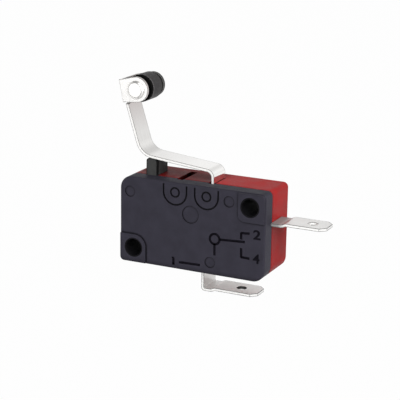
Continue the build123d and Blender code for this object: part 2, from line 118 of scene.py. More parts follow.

# A rise goes from 0 to 1 between two distances in metres along a direction, or between two slopes
# where it reads normals. A tone lies where all its rises do. It's a share of a colour, with its own
# roughness if it has one. The tones below are painted shade and painted light.
Rise = namedtuple("Rise", "direction start end coordinates", defaults=("Object",))
Tone = namedtuple("Tone", "rises share roughness", defaults=(None,))

# Painted shade on the case's top left of the lever's heel, and painted shade on the cover's foot and head
CASE_TOP_SHADE = Tone([Rise(LEFT, -0.0155, -0.0125), Rise(UP, 0.0125, 0.0128)], share=0.5)
COVER_FOOT_SHADE = Tone([Rise(DOWN, 0.0019, 0.0029)], share=0.4)
COVER_HEAD_SHADE = Tone([Rise(UP, 0.0124, 0.0128)], share=0.75)
# Painted light on the lever's limb, painted shade on its upright, and painted shade on the rim of its far
# ear but not on the ear's back
LIMB_LIGHT = Tone([Rise(RIGHT, 0.003, 0.011)], share=1.15)
UPRIGHT_SHADE = Tone([Rise(UP, 0.0200, 0.0265)], share=1.0)
FAR_EAR_SHADE = Tone(
    [Rise(BACK, -0.0027, -0.0026), Rise(RIGHT, -0.0009, -0.0005), Rise(FRONT, -0.6, -0.3, "Normal")],
    share=0.06,
    roughness=DULL,
)
# Painted highlight near the roller's front end, and painted shade on its ends
ROLLER_HIGHLIGHT = Tone([Rise(FRONT, 0.00652, 0.00656)], share=5.0)
ROLLER_FRONT_SHADE = Tone([Rise(FRONT, 0.00666, 0.00670)], share=0.03, roughness=0.9)
ROLLER_BACK_SHADE = Tone([Rise(BACK, -0.00354, -0.00350)], share=0.03, roughness=0.9)
# Painted shade of the housing on the side tab's root
TAB_ROOT_SHADE = Tone([Rise(LEFT, -0.0277, -0.0262)], share=0.45, roughness=0.6)

# Plastic: size of its clouds, how far they change its colour and its roughness, and the share of
# its colour in the painted shade of recesses and screw holes
CLOUD_SIZE = 0.0025
CLOUD_CONTRAST = 0.1
CLOUD_DULLING = 0.05
RECESS_SHADE_SHARE = 0.1

# Sheet metal: darkest and lightest share of its streaks, their height and their stretch, the size
# of its smudges and how much duller they are, and how metallic its cut edges are
STREAK_SHARES = (0.96, 1.03)
STREAK_HEIGHT = 0.0000015
STREAK_STRETCH = (0.04, 1.0, 0.04)
SMUDGE_SIZE = 0.0035
SMUDGE_DULLING = 0.06
CUT_EDGE_METALLIC = 0.4

# Rays that feel for edges and recesses at each point
FEELERS = 8

# Grey of the room at heights from the horizon, 0, to straight up, 1
ROOM_GREYS = (
    (0.0, 0.88),
    (0.12, 0.95),
    (0.26, 1.0),
    (0.38, 0.95),
    (0.55, 0.72),
    (0.75, 0.2),
    (1.0, 0.12),
)
WHITE = (1.0, 1.0, 1.0, 1.0)
# Places of the lamps from the aim point, and the side of a lamp
KEY_PLACE = (0.38, -0.22, 0.31)
FILL_PLACE = (-0.10, -0.50, 0.20)
LAMP_SIDE = 0.5
# Half the floor's side, the grey that takes the shadow, and the share of white in what is seen
FLOOR_REACH = 1.5
FLOOR_PAINT = (0.3, 0.3, 0.3, 1.0)
FLOOR_GLOW = 0.985
# Width of the camera's sensor in millimetres, and its nearest sight in metres
SENSOR_WIDTH = 36.0
NEAR_LIMIT = 0.01

# What all settings of one kind have in common
COLOUR = {"subtype": "COLOR", "size": 3, "min": 0.0, "max": 1.0}
SHARE = {"min": 0.0, "max": 1.0}
LENGTH = {"unit": "LENGTH", "precision": 6}


class HousingSettings(bpy.types.PropertyGroup):
    """Finish of the moulded housing"""

    case_colour: bpy.props.FloatVectorProperty(
        name="Case colour",
        description="Red of the moulded case",
        default=(0.34, 0.018, 0.018),
        **COLOUR,
    )
    cover_colour: bpy.props.FloatVectorProperty(
        name="Cover colour",
        description="Dark grey of the moulded cover",
        default=(0.034, 0.032, 0.045),
        **COLOUR,
    )
    case_roughness: bpy.props.FloatProperty(
        name="Case roughness",
        description="How dull the red moulding is",
        default=0.45,
        **SHARE,
    )
    cover_roughness: bpy.props.FloatProperty(
        name="Cover roughness",
        description="How dull the grey moulding is",
        default=0.55,
        **SHARE,
    )
    grain_size: bpy.props.FloatProperty(
        name="Mould grain",
        description="Width of one grain of the mould's spark-eroded skin",
        default=0.00009,
        min=0.00001,
        **LENGTH,
    )
    grain_height: bpy.props.FloatProperty(
        name="Grain height",
        description="Height of the mould grain",
        default=0.000012,
        min=0.0,
        **LENGTH,
    )
    # Reach of the painted shade in inner corners
    recess_reach: bpy.props.FloatProperty(
        name="Recess reach",
        description="How far from an inner corner its darker tone reaches",
        default=0.0004,
        min=0.0,
        **LENGTH,
    )
    # Reach of the painted shade across the case's slots
    slot_reach: bpy.props.FloatProperty(
        name="Slot reach",
        description="How far across the case's slots their darkness reaches",
        default=0.0025,
        min=0.0,
        **LENGTH,
    )
    # Width of the painted shade along the case's rims
    rim_shade_width: bpy.props.FloatProperty(
        name="Rim line",
        description="Width of the darker line along the case's sharp rims",
        default=0.00012,
        min=0.0,
        **LENGTH,
    )


class ActuatorSettings(bpy.types.PropertyGroup):
    """Finish of the lever, the roller and the plunger"""

    steel_colour: bpy.props.FloatVectorProperty(
        name="Steel colour",
        description="Bright rolled steel of the lever",
        default=(0.80, 0.79, 0.775),
        **COLOUR,
    )
    steel_roughness: bpy.props.FloatProperty(
        name="Steel roughness",
        description="How dull the lever is",
        default=0.12,
        **SHARE,
    )
    # Colour of the painted shade on the lever's upright below the roller
    shade_colour: bpy.props.FloatVectorProperty(
        name="Shade colour",
        description="Tone of the lever's upright below the roller",
        default=(0.56, 0.51, 0.50),
        **COLOUR,
    )
    roller_colour: bpy.props.FloatVectorProperty(
        name="Roller colour",
        description="Black of the moulded roller",
        default=(0.036, 0.034, 0.035),
        **COLOUR,
    )
    plunger_colour: bpy.props.FloatVectorProperty(
        name="Plunger colour",
        description="Black of the moulded plunger",
        default=(0.050, 0.050, 0.049),
        **COLOUR,
    )
    streak_width: bpy.props.FloatProperty(
        name="Streak width",
        description="Width of the fine streaks that rolling leaves in sheet metal",
        default=0.00012,
        min=0.00001,
        **LENGTH,
    )
    # Width of the painted shade along the rivet's edges
    rivet_shade_width: bpy.props.FloatProperty(
        name="Rivet line",
        description="Width of the darker line along the rivet's edges",
        default=0.00025,
        min=0.0,
        **LENGTH,
    )
    # Width of the painted shade along the plunger's edges
    plunger_shade_width: bpy.props.FloatProperty(
        name="Plunger line",
        description="Width of the darker line along the plunger's edges",
        default=0.00032,
        min=0.0,
        **LENGTH,
    )


class TerminalSettings(bpy.types.PropertyGroup):
    """Finish of the plated tabs and the works"""

    plate_colour: bpy.props.FloatVectorProperty(
        name="Plate colour",
        description="Bright plating of the tabs",
        default=(0.86, 0.855, 0.84),
        **COLOUR,
    )
    plate_roughness: bpy.props.FloatProperty(
        name="Plate roughness",
        description="How dull the plating is",
        default=0.34,
        **SHARE,
    )
    plate_metal: bpy.props.FloatProperty(
        name="Plate metal",
        description="How mirror-like the plating is, where 1 is bare bright metal",
        default=0.66,
        **SHARE,
    )
    edge_roughness: bpy.props.FloatProperty(
        name="Cut edge roughness",
        description="How dull the stamped edges of the strips are",
        default=0.45,
        **SHARE,
    )
    # Width of the painted shade along the strips' edges
    edge_shade_width: bpy.props.FloatProperty(
        name="Edge line",
        description="Width of the darker line along the strips' edges",
        default=0.00022,
        min=0.0,
        **LENGTH,
    )
    edge_rounding: bpy.props.FloatProperty(
        name="Edge rounding",
        description="Radius that stamping leaves along the strips' edges",
        default=0.00010,
        min=0.0,
        **LENGTH,
    )
    silver_colour: bpy.props.FloatVectorProperty(
        name="Silver colour",
        description="Silver alloy of the contacts",
        default=(0.86, 0.85, 0.82),
        **COLOUR,
    )
    copper_colour: bpy.props.FloatVectorProperty(
        name="Copper colour",
        description="Copper alloy of the contact arm",
        default=(0.72, 0.45, 0.24),
        **COLOUR,
    )
    wire_colour: bpy.props.FloatVectorProperty(
        name="Wire colour",
        description="Drawn wire of the snap spring",
        default=(0.55, 0.55, 0.55),
        **COLOUR,
    )
    nylon_colour: bpy.props.FloatVectorProperty(
        name="Nylon colour",
        description="Natural nylon of the drive arm",
        default=(0.62, 0.58, 0.47),
        **COLOUR,
    )


class MarkSettings(bpy.types.PropertyGroup):
    """Contact diagram and numbers on the cover"""

    ink_colour: bpy.props.FloatVectorProperty(
        name="Ink colour",
        description="Black of the printed marks",
        default=(0.0045, 0.004, 0.006),
        **COLOUR,
    )
    stroke_width: bpy.props.FloatProperty(
        name="Stroke width",
        description="Width of the diagram's lines",
        default=0.00042,
        min=0.00005,
        **LENGTH,
    )
    ring_radius: bpy.props.FloatProperty(
        name="Ring radius",
        description="Radius of the diagram's pivot ring, to the middle of its line",
        default=0.00091,
        min=0.0001,
        **LENGTH,
    )
    corner_radius: bpy.props.FloatProperty(
        name="Corner radius",
        description="Rounding where a line of the diagram turns",
        default=0.00012,
        min=0.00001,
        **LENGTH,
    )
    ink_thickness: bpy.props.FloatProperty(
        name="Ink thickness",
        description="How far the printed marks stand off the cover",
        default=0.00002,
        min=0.000001,
        **LENGTH,
    )
    digit_height: bpy.props.FloatProperty(
        name="Digit height",
        description="Height of the numbers",
        default=0.00165,
        min=0.0005,
        **LENGTH,
    )
    digit_boldness: bpy.props.FloatProperty(
        name="Digit boldness",
        description="How far the numbers' strokes are swollen on each side",
        default=0.00006,
        min=0.0,
        **LENGTH,
    )
    face_depth: bpy.props.FloatProperty(
        name="Face depth",
        description="Distance of the cover's printed face from the back of the switch",
        default=-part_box("cover")[0].y - PAD_HEIGHT,
        min=0.001,
        **LENGTH,
    )


class StudioSettings(bpy.types.PropertyGroup):
    """Camera, lamps and floor"""

    azimuth: bpy.props.FloatProperty(
        name="View azimuth",
        description="How far the camera stands round to the terminal end",
        subtype="ANGLE",
        default=radians(25.50),
    )
    elevation: bpy.props.FloatProperty(
        name="View elevation",
        description="How far the camera looks down",
        subtype="ANGLE",
        default=radians(15.69),
    )
    roll: bpy.props.FloatProperty(
        name="View roll",
        description="How far the camera is tipped about its own axis",
        subtype="ANGLE",
        default=radians(0.926),
    )
    distance: bpy.props.FloatProperty(
        name="Camera distance",
        description="Distance from the camera to the plane of the aim point",
        default=0.2414,
        min=0.01,
        **LENGTH,
    )
    lens: bpy.props.FloatProperty(
        name="Lens",
        description="Focal length in millimetres",
        default=123.6,
        min=10.0,
    )
    aim: bpy.props.FloatVectorProperty(
        name="Aim point",
        description="Middle of the housing",
        subtype="TRANSLATION",
        size=3,
        default=(0.0111, -0.00515, 0.00515),
        **LENGTH,
    )
    offset: bpy.props.FloatVectorProperty(
        name="Camera offset",
        description="Shift of the camera to its right and upwards, off the aim point",
        size=2,
        default=(-0.000534, 0.003635),
        **LENGTH,
    )
    key_power: bpy.props.FloatProperty(
        name="Key lamp",
        description="Power of the large lamp above and to the right, in watts",
        default=3.2,
        min=0.0,
    )
    fill_power: bpy.props.FloatProperty(
        name="Fill lamp",
        description="Power of the soft lamp in front, in watts",
        default=1.4,
        min=0.0,
    )
    ambient: bpy.props.FloatProperty(
        name="Ambient light",
        description="Strength of the even light of the room",
        default=0.25,
        min=0.0,
    )
    floor_gap: bpy.props.FloatProperty(
        name="Floor gap",
        description="Distance from the lowest tab down to the floor",
        default=0.0002,
        min=0.0,
        **LENGTH,
    )


class SwitchSettings(bpy.types.PropertyGroup):
    """All settings of the switch"""

    housing: bpy.props.PointerProperty(type=HousingSettings)
    actuator: bpy.props.PointerProperty(type=ActuatorSettings)
    terminals: bpy.props.PointerProperty(type=TerminalSettings)
    marks: bpy.props.PointerProperty(type=MarkSettings)
    studio: bpy.props.PointerProperty(type=StudioSettings)


# Node helpers


def feed(tree, socket, value):
    """Gives an input a plain value, or the output of another node."""
    if isinstance(value, bpy.types.NodeSocket):
        tree.links.new(value, socket)
    else:
        socket.default_value = value


def math_node(tree, operation, *operands):
    """Result of a Math node whose operands are sockets or numbers."""
    node = tree.nodes.new("ShaderNodeMath")
    node.operation = operation
    for socket, operand in zip(node.inputs, operands):
        feed(tree, socket, operand)
    return node.outputs["Value"]


def vector_node(tree, operation, *operands):
    """Outputs of a Vector Math node whose operands are sockets or vectors."""
    node = tree.nodes.new("ShaderNodeVectorMath")
    node.operation = operation
    for socket, operand in zip(node.inputs, operands):
        feed(tree, socket, operand)
    return node.outputs


def noise_node(tree, vector, size, detail):
    """Noise texture whose blots have a given size."""
    node = tree.nodes.new("ShaderNodeTexNoise")
    node.inputs["Detail"].default_value = detail
    tree.links.new(vector, node.inputs["Vector"])
    tree.links.new(math_node(tree, "DIVIDE", 1.0, size), node.inputs["Scale"])
    return node.outputs["Fac"]


def spread(tree, value, low, high):
    """Share from 0 to 1 of a value's way from one number or socket to another."""
    node = tree.nodes.new("ShaderNodeMapRange")
    tree.links.new(value, node.inputs["Value"])
    feed(tree, node.inputs["From Min"], low)
    feed(tree, node.inputs["From Max"], high)
    return node.outputs["Result"]


# Shared node groups


def new_group(name, inputs, outputs):
    """Empty shader node group with vector inputs, float inputs with a value, and float outputs."""
    group = bpy.data.node_groups.new(name, "ShaderNodeTree")
    for label, value in inputs:
        kind = "NodeSocketVector" if value is None else "NodeSocketFloat"
        socket = group.interface.new_socket(name=label, in_out="INPUT", socket_type=kind)
        if value is not None:
            socket.default_value = value
    for label in outputs:
        group.interface.new_socket(name=label, in_out="OUTPUT", socket_type="NodeSocketFloat")
    entry = group.nodes.new("NodeGroupInput")
    leave = group.nodes.new("NodeGroupOutput")
    return group, entry.outputs, leave.inputs


def moulded_skin():
    """Grain and cloudy tone of a plastic moulding."""
    inputs = (("Vector", None), ("Grain Size", 0.0001), ("Cloud Size", 0.002))
    group, entry, leave = new_group("moulded_skin", inputs, ("Grain", "Clouds"))
    grain = noise_node(group, entry["Vector"], entry["Grain Size"], detail=2.0)
    clouds = noise_node(group, entry["Vector"], entry["Cloud Size"], detail=3.0)
    group.links.new(spread(group, grain, low=0.3, high=0.7), leave["Grain"])
    group.links.new(spread(group, clouds, low=0.35, high=0.65), leave["Clouds"])


def rolled_sheet():
    """Fine streaks of rolled sheet metal along X and Z, and faint smudges of handling."""
    inputs = (("Vector", None), ("Streak Width", 0.0001), ("Smudge Size", 0.003))
    group, entry, leave = new_group("rolled_sheet", inputs, ("Streaks", "Smudges"))
    stretched = vector_node(group, "MULTIPLY", entry["Vector"], STREAK_STRETCH)["Vector"]
    streaks = noise_node(group, stretched, entry["Streak Width"], detail=2.0)
    smudges = noise_node(group, entry["Vector"], entry["Smudge Size"], detail=3.0)
    group.links.new(spread(group, streaks, low=0.3, high=0.7), leave["Streaks"])
    group.links.new(spread(group, smudges, low=0.4, high=0.7), leave["Smudges"])


def cut_edges():
    """Mask of the normals that lie along Y, as those of a strip's stamped edges do."""
    group, entry, leave = new_group("cut_edges", (("Vector", None),), ("Edges",))
    split = group.nodes.new("ShaderNodeSeparateXYZ")
    group.links.new(entry["Vector"], split.inputs["Vector"])
    facing = math_node(group, "ABSOLUTE", split.outputs["Y"])
    group.links.new(spread(group, facing, low=0.6, high=0.9), leave["Edges"])


def edge_line():
    """Mask of a narrow line along both sides of every sharp edge, where shade is painted."""
    group, entry, leave = new_group("edge_line", (("Radius", 0.0001),), ("Line",))
    rounded = group.nodes.new("ShaderNodeBevel")
    rounded.samples = FEELERS
    group.links.new(entry["Radius"], rounded.inputs["Radius"])
    plain = group.nodes.new("ShaderNodeNewGeometry")
    normals = (rounded.outputs["Normal"], plain.outputs["Normal"])
    agreement = vector_node(group, "DOT_PRODUCT", *normals)["Value"]
    group.links.new(spread(group, agreement, low=0.995, high=0.93), leave["Line"])


def recesses():
    """Mask of grooves and inner corners, where shade is painted."""
    group, entry, leave = new_group("recesses", (("Reach", 0.0003),), ("Depth",))
    shade = group.nodes.new("ShaderNodeAmbientOcclusion")
    shade.samples = FEELERS
    shade.only_local = True
    group.links.new(entry["Reach"], shade.inputs["Distance"])
    group.links.new(spread(group, shade.outputs["AO"], low=0.97, high=0.6), leave["Depth"])


def far_side():
    """Mask that rises from 0 at one distance along a direction to 1 at another."""
    inputs = (("Vector", None), ("Direction", None), ("Start", 0.0), ("End", 0.001))
    group, entry, leave = new_group("far_side", inputs, ("Share",))
    distance = vector_node(group, "DOT_PRODUCT", entry["Vector"], entry["Direction"])["Value"]
    group.links.new(spread(group, distance, entry["Start"], entry["End"]), leave["Share"])


def hole_wall():
    """Mask of what lies within a radius of an axis through a place."""
    inputs = (("Vector", None), ("Place", None), ("Around", None), ("Radius", 0.001))
    group, entry, leave = new_group("hole_wall", inputs, ("Wall",))
    away = vector_node(group, "SUBTRACT", entry["Vector"], entry["Place"])["Vector"]
    level = vector_node(group, "MULTIPLY", away, entry["Around"])["Vector"]
    distance = vector_node(group, "LENGTH", level)["Value"]
    group.links.new(math_node(group, "LESS_THAN", distance, entry["Radius"]), leave["Wall"])


# Materials


def shader_of(material):
    """Main shader of a material."""
    return material.node_tree.nodes["Principled BSDF"]


def surface(name):
    """New material whose patterns read the piece's own coordinates."""
    material = bpy.data.materials.new(name)
    material.use_nodes = True
    material.node_tree.nodes.new("ShaderNodeTexCoord")
    return material


def place_group(material, group_name, values, coordinates=None):
    """Outputs of a shared group in a material, with its own values."""
    tree = material.node_tree
    group = tree.nodes.new("ShaderNodeGroup")
    group.node_tree = bpy.data.node_groups[group_name]
    for label, value in values.items():
        group.inputs[label].default_value = value
    if coordinates is not None:
        tree.links.new(tree.nodes["Texture Coordinate"].outputs[coordinates], group.inputs["Vector"])
    return group.outputs


def scaled(colour, share):
    """Opaque colour that is darker or lighter by a share."""
    return (*(channel * share for channel in colour[:3]), 1.0)


def drift(material, name, mask, low, high):
    """Lets an input of the shader go from one value or socket to another by a mask."""
    tree = material.node_tree
    target = shader_of(material).inputs[name]
    mix = tree.nodes.new("ShaderNodeMix")
    mix.data_type = "RGBA" if target.type == "RGBA" else "FLOAT"
    tree.links.new(mask, mix.inputs["Factor"])
    feed(tree, mix.inputs["A"], low)
    feed(tree, mix.inputs["B"], high)
    tree.links.new(mix.outputs["Result"], target)


def alter(material, name, mask, value):
    """Gives an input of the shader another value where a mask says so."""
    target = shader_of(material).inputs[name]
    before = target.links[0].from_socket if target.is_linked else target.default_value
    drift(material, name, mask, before, value)


def repaint(material, mask, colour, roughness=None):
    """Another colour where a mask says so, and another roughness if one is given."""
    alter(material, "Base Color", mask, colour)
    if roughness is not None:
        alter(material, "Roughness", mask, roughness)


def relief(material, height, distance, rounding=0.0):
    """Bump of the surface from a height pattern, over edges that may be softly rounded."""
    tree = material.node_tree
    bump = tree.nodes.new("ShaderNodeBump")
    bump.inputs["Distance"].default_value = distance
    tree.links.new(height, bump.inputs["Height"])
    tree.links.new(bump.outputs["Normal"], shader_of(material).inputs["Normal"])
    if rounding > 0.0:
        edge = tree.nodes.new("ShaderNodeBevel")
        edge.samples = FEELERS
        edge.inputs["Radius"].default_value = rounding
        tree.links.new(edge.outputs["Normal"], bump.inputs["Normal"])


def plastic(name, colour, roughness, gloss, housing):
    """Moulded plastic with the housing's mould grain and a cloudy tone."""
    material = surface(name)
    sizes = {"Grain Size": housing.grain_size, "Cloud Size": CLOUD_SIZE}
    pattern = place_group(material, "moulded_skin", sizes, "Object")
    shader_of(material).inputs["Specular IOR Level"].default_value = gloss
    tones = (scaled(colour, 1 - CLOUD_CONTRAST), scaled(colour, 1 + CLOUD_CONTRAST))
    drift(material, "Base Color", pattern["Clouds"], *tones)
    drift(material, "Roughness", pattern["Clouds"], roughness - CLOUD_DULLING, roughness + CLOUD_DULLING)
    relief(material, pattern["Grain"], housing.grain_height)
    return material


def sheet_metal(name, colour, roughness, streak_width, rounding=0.0, metallic=1.0):
    """Bright sheet metal with rolling streaks and faint smudges."""
    material = surface(name)
    sizes = {"Streak Width": streak_width, "Smudge Size": SMUDGE_SIZE}
    pattern = place_group(material, "rolled_sheet", sizes, "Object")
    shader_of(material).inputs["Metallic"].default_value = metallic
    tones = [scaled(colour, share) for share in STREAK_SHARES]
    drift(material, "Base Color", pattern["Streaks"], *tones)
    drift(material, "Roughness", pattern["Smudges"], roughness, roughness + SMUDGE_DULLING)
    relief(material, pattern["Streaks"], STREAK_HEIGHT, rounding)
    return material


def printed_ink(marks):
    """Black ink with slightly uneven cover, made once."""
    known = bpy.data.materials.get("printed_ink")
    if known is not None:
        return known
    material = surface("printed_ink")
    sizes = {"Grain Size": 0.00006, "Cloud Size": 0.0006}
    pattern = place_group(material, "moulded_skin", sizes, "Object")
    shader_of(material).inputs["Specular IOR Level"].default_value = 0.02
    tones = (scaled(marks.ink_colour, 1.0), scaled(marks.ink_colour, 2.0))
    drift(material, "Base Color", pattern["Clouds"], *tones)
    drift(material, "Roughness", pattern["Clouds"], low=0.7, high=0.9)
    relief(material, pattern["Grain"], distance=0.000006)
    return material


def toned(material, tone, colour):
    """Gives a material one of the tones of painted shade and painted light, as a share of a colour."""
    mask = None
    for rise in tone.rises:
        values = {"Direction": rise.direction, "Start": rise.start, "End": rise.end}
        share = place_group(material, "far_side", values, rise.coordinates)["Share"]
        if mask is None:
            mask = share
        else:
            mask = math_node(material.node_tree, "MULTIPLY", mask, share)
    repaint(material, mask, scaled(colour, tone.share), tone.roughness)


def stamped_edges(material, colour, share, roughness):
    """Brighter and duller stamped edges, less like a mirror, on a sheet metal."""
    edges = place_group(material, "cut_edges", {}, "Normal")["Edges"]
    repaint(material, edges, scaled(colour, share), roughness)
    alter(material, "Metallic", edges, CUT_EDGE_METALLIC)


def painted_edge_shade(material, width, colour, share):
    """Painted shade in dull lines along the sharp edges."""
    line = place_group(material, "edge_line", {"Radius": width})["Line"]
    repaint(material, line, scaled(colour, share), DULL)


def shaded_recesses(material, reach, colour, share):
    """Painted shade in grooves and inner corners."""
    depth = place_group(material, "recesses", {"Reach": reach})["Depth"]
    repaint(material, depth, scaled(colour, share))


def painted_hole_shade(material, place, around, radius, colour, share):
    """Painted shade, dull, on the wall of a round hole."""
    values = {"Place": place, "Around": around, "Radius": radius}
    wall = place_group(material, "hole_wall", values, "Object")["Wall"]
    repaint(material, wall, scaled(colour, share), DULL)


def dress(node_name, material):
    """Puts a material on every slot of a CAD node."""
    slots = nodes[node_name].data.materials
    if not slots:
        slots.append(material)
    for index in range(len(slots)):
        slots[index] = material


# Pieces


class SWITCH_OT_housing(bpy.types.Operator):
    """Finishes the red case and the grey cover"""

    bl_idname = "micro_switch.housing"
    bl_label = "Finish the housing"

    def execute(self, context):
        housing = context.scene.micro_switch.housing
        red = housing.case_colour
        grey = housing.cover_colour
        case = plastic("case_red_moulding", red, housing.case_roughness, gloss=0.05, housing=housing)
        cover = plastic("cover_grey_moulding", grey, housing.cover_roughness, gloss=0.1, housing=housing)
        # Painted shade on the case's top and on the cover's foot and head
        toned(case, CASE_TOP_SHADE, red)
        toned(cover, COVER_FOOT_SHADE, grey)
        toned(cover, COVER_HEAD_SHADE, grey)
        # Painted shade along the case's rims
        painted_edge_shade(case, housing.rim_shade_width, red, share=0.25)
        # Painted shade across the case's slots
        shaded_recesses(case, housing.slot_reach, red, share=0.02)
        for material, colour in ((case, red), (cover, grey)):
            # Painted shade in grooves and inner corners
            shaded_recesses(material, housing.recess_reach, colour, RECESS_SHADE_SHARE)
            # Painted shade on the walls of the screw holes
            for hole in SCREW_HOLES:
                radius = hole["dims"]["r_mm"] * MM + SCREW_HOLE_MARGIN
                painted_hole_shade(material, hole["pos_m"], AROUND_Y, radius, colour, RECESS_SHADE_SHARE)
        dress("case", case)
        dress("cover", cover)
        return {"FINISHED"}


class SWITCH_OT_actuator(bpy.types.Operator):
    """Finishes the lever with its roller and rivet, and the plunger"""

    bl_idname = "micro_switch.actuator"
    bl_label = "Finish the actuator"

    def finish_lever(self, actuator, terminals):
        """Bright rolled strip with painted light on its limb and painted shade on its upright, its far
        ear's rim and its edges.
        """
        colour = actuator.steel_colour
        steel = sheet_metal(
            "lever_bright_steel",
            colour,
            actuator.steel_roughness,
            actuator.streak_width,
            rounding=terminals.edge_rounding,
        )
        # Painted light on the limb and painted shade on the upright
        toned(steel, LIMB_LIGHT, colour)
        toned(steel, UPRIGHT_SHADE, actuator.shade_colour)
        stamped_edges(steel, colour, share=1.15, roughness=terminals.edge_roughness)
        # Painted shade on the far ear's rim
        toned(steel, FAR_EAR_SHADE, colour)
        # Painted shade along the lever's edges
        painted_edge_shade(steel, terminals.edge_shade_width, colour, share=0.3)
        dress("lever", steel)

    def finish_rivet(self, actuator):
        """Rivet in a brighter tone of the lever's steel."""
        colour = actuator.steel_colour
        bright = scaled(colour, 1.1)
        pin = sheet_metal("rivet_turned_steel", bright, roughness=0.4, streak_width=actuator.streak_width)
        # Painted shade along the rivet's edges
        painted_edge_shade(pin, actuator.rivet_shade_width, colour, share=0.04)
        dress("roller_pin", pin)

    def finish_roller(self, actuator, housing):
        """Black roller with a painted highlight near its front end and painted shade on its two ends."""
        colour = actuator.roller_colour
        roller = plastic("roller_black_nylon", colour, roughness=0.45, gloss=0.1, housing=housing)
        # Painted highlight near the front end, and painted shade on both ends
        for tone in (ROLLER_HIGHLIGHT, ROLLER_FRONT_SHADE, ROLLER_BACK_SHADE):
            toned(roller, tone, colour)
        dress("roller", roller)

    def finish_plunger(self, actuator, housing):
        """Black plunger with painted shade along its edges and in its corners."""
        colour = actuator.plunger_colour
        plunger = plastic("plunger_black_moulding", colour, roughness=0.5, gloss=0.1, housing=housing)
        # Painted shade along the plunger's edges
        painted_edge_shade(plunger, actuator.plunger_shade_width, colour, share=0.03)
        # Painted shade in the plunger's corners
        shaded_recesses(plunger, housing.recess_reach, colour, RECESS_SHADE_SHARE)
        dress("plunger", plunger)

    def execute(self, context):
        settings = context.scene.micro_switch
        self.finish_lever(settings.actuator, settings.terminals)
        self.finish_rivet(settings.actuator)
        self.finish_roller(settings.actuator, settings.housing)
        self.finish_plunger(settings.actuator, settings.housing)
        return {"FINISHED"}


class SWITCH_OT_terminals(bpy.types.Operator):
    """Finishes the two plated terminals"""

    bl_idname = "micro_switch.terminals"
    bl_label = "Finish the terminals"

    def execute(self, context):
        settings = context.scene.micro_switch
        terminals = settings.terminals
        colour = terminals.plate_colour
        plates = {}
        for node_name in ("common_terminal", "nc_terminal"):
            plate = sheet_metal(
                f"{node_name}_plate",
                colour,
                terminals.plate_roughness,
                settings.actuator.streak_width,
                rounding=terminals.edge_rounding,
                metallic=terminals.plate_metal,
            )
            stamped_edges(plate, colour, share=1.12, roughness=terminals.edge_roughness)
            plates[node_name] = plate
        # Painted shade of the housing on the side tab's root
        toned(plates["nc_terminal"], TAB_ROOT_SHADE, colour)
        for node_name, plate in plates.items():
            # Painted shade along the tabs' edges
            painted_edge_shade(plate, terminals.edge_shade_width, colour, share=0.1)
            dress(node_name, plate)
        # Painted shade on the wall of the bottom tab's hole
        painted_hole_shade(plates["common_terminal"], TAB_HOLE_PLACE, AROUND_Z, TAB_HOLE_RADIUS, colour, share=0.05)
        return {"FINISHED"}


class SWITCH_OT_works(bpy.types.Operator):
    """Finishes the contacts, the contact arm, the spring and the drive arm inside"""

    bl_idname = "micro_switch.works"
    bl_label = "Finish the works"

    def execute(self, context):
        settings = context.scene.micro_switch
        terminals = settings.terminals
        width = settings.actuator.streak_width
        silver = sheet_metal(
            "contact_silver_alloy",
            terminals.silver_colour,
            roughness=0.22,
            streak_width=width,
        )
        copper = sheet_metal(
            "arm_spring_copper",
            terminals.copper_colour,
            roughness=0.24,
            streak_width=width,
        )
        wire = sheet_metal(
            "spring_drawn_wire",
            terminals.wire_colour,
            roughness=0.3,
            streak_width=width,
        )
        nylon = plastic(
            "drive_arm_natural_nylon",
            terminals.nylon_colour,
            roughness=0.45,
            gloss=0.5,
            housing=settings.housing,
        )
        dress("nc_contact", silver)
        dress("moving_contact", silver)
        dress("contact_arm", copper)
        dress("snap_spring", wire)
        dress("drive_arm", nylon)
        return {"FINISHED"}


def new_object(name, data):
    """Object in the scene for a mesh, curve, lamp or camera."""
    item = bpy.data.objects.new(name, data)
    bpy.context.scene.collection.objects.link(item)
    return item


def as_mesh(draft):
    """Plain mesh of a draft object, which is then deleted."""
    bpy.context.view_layer.update()
    shaped = draft.evaluated_get(bpy.context.evaluated_depsgraph_get())
    mesh = bpy.data.meshes.new_from_object(shaped)
    bpy.data.objects.remove(draft)
    return mesh


def add_print(name, mesh):
    """Printed piece at the origin that rides on the housing."""
    piece = new_object(name, mesh)
    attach(piece, "housing")


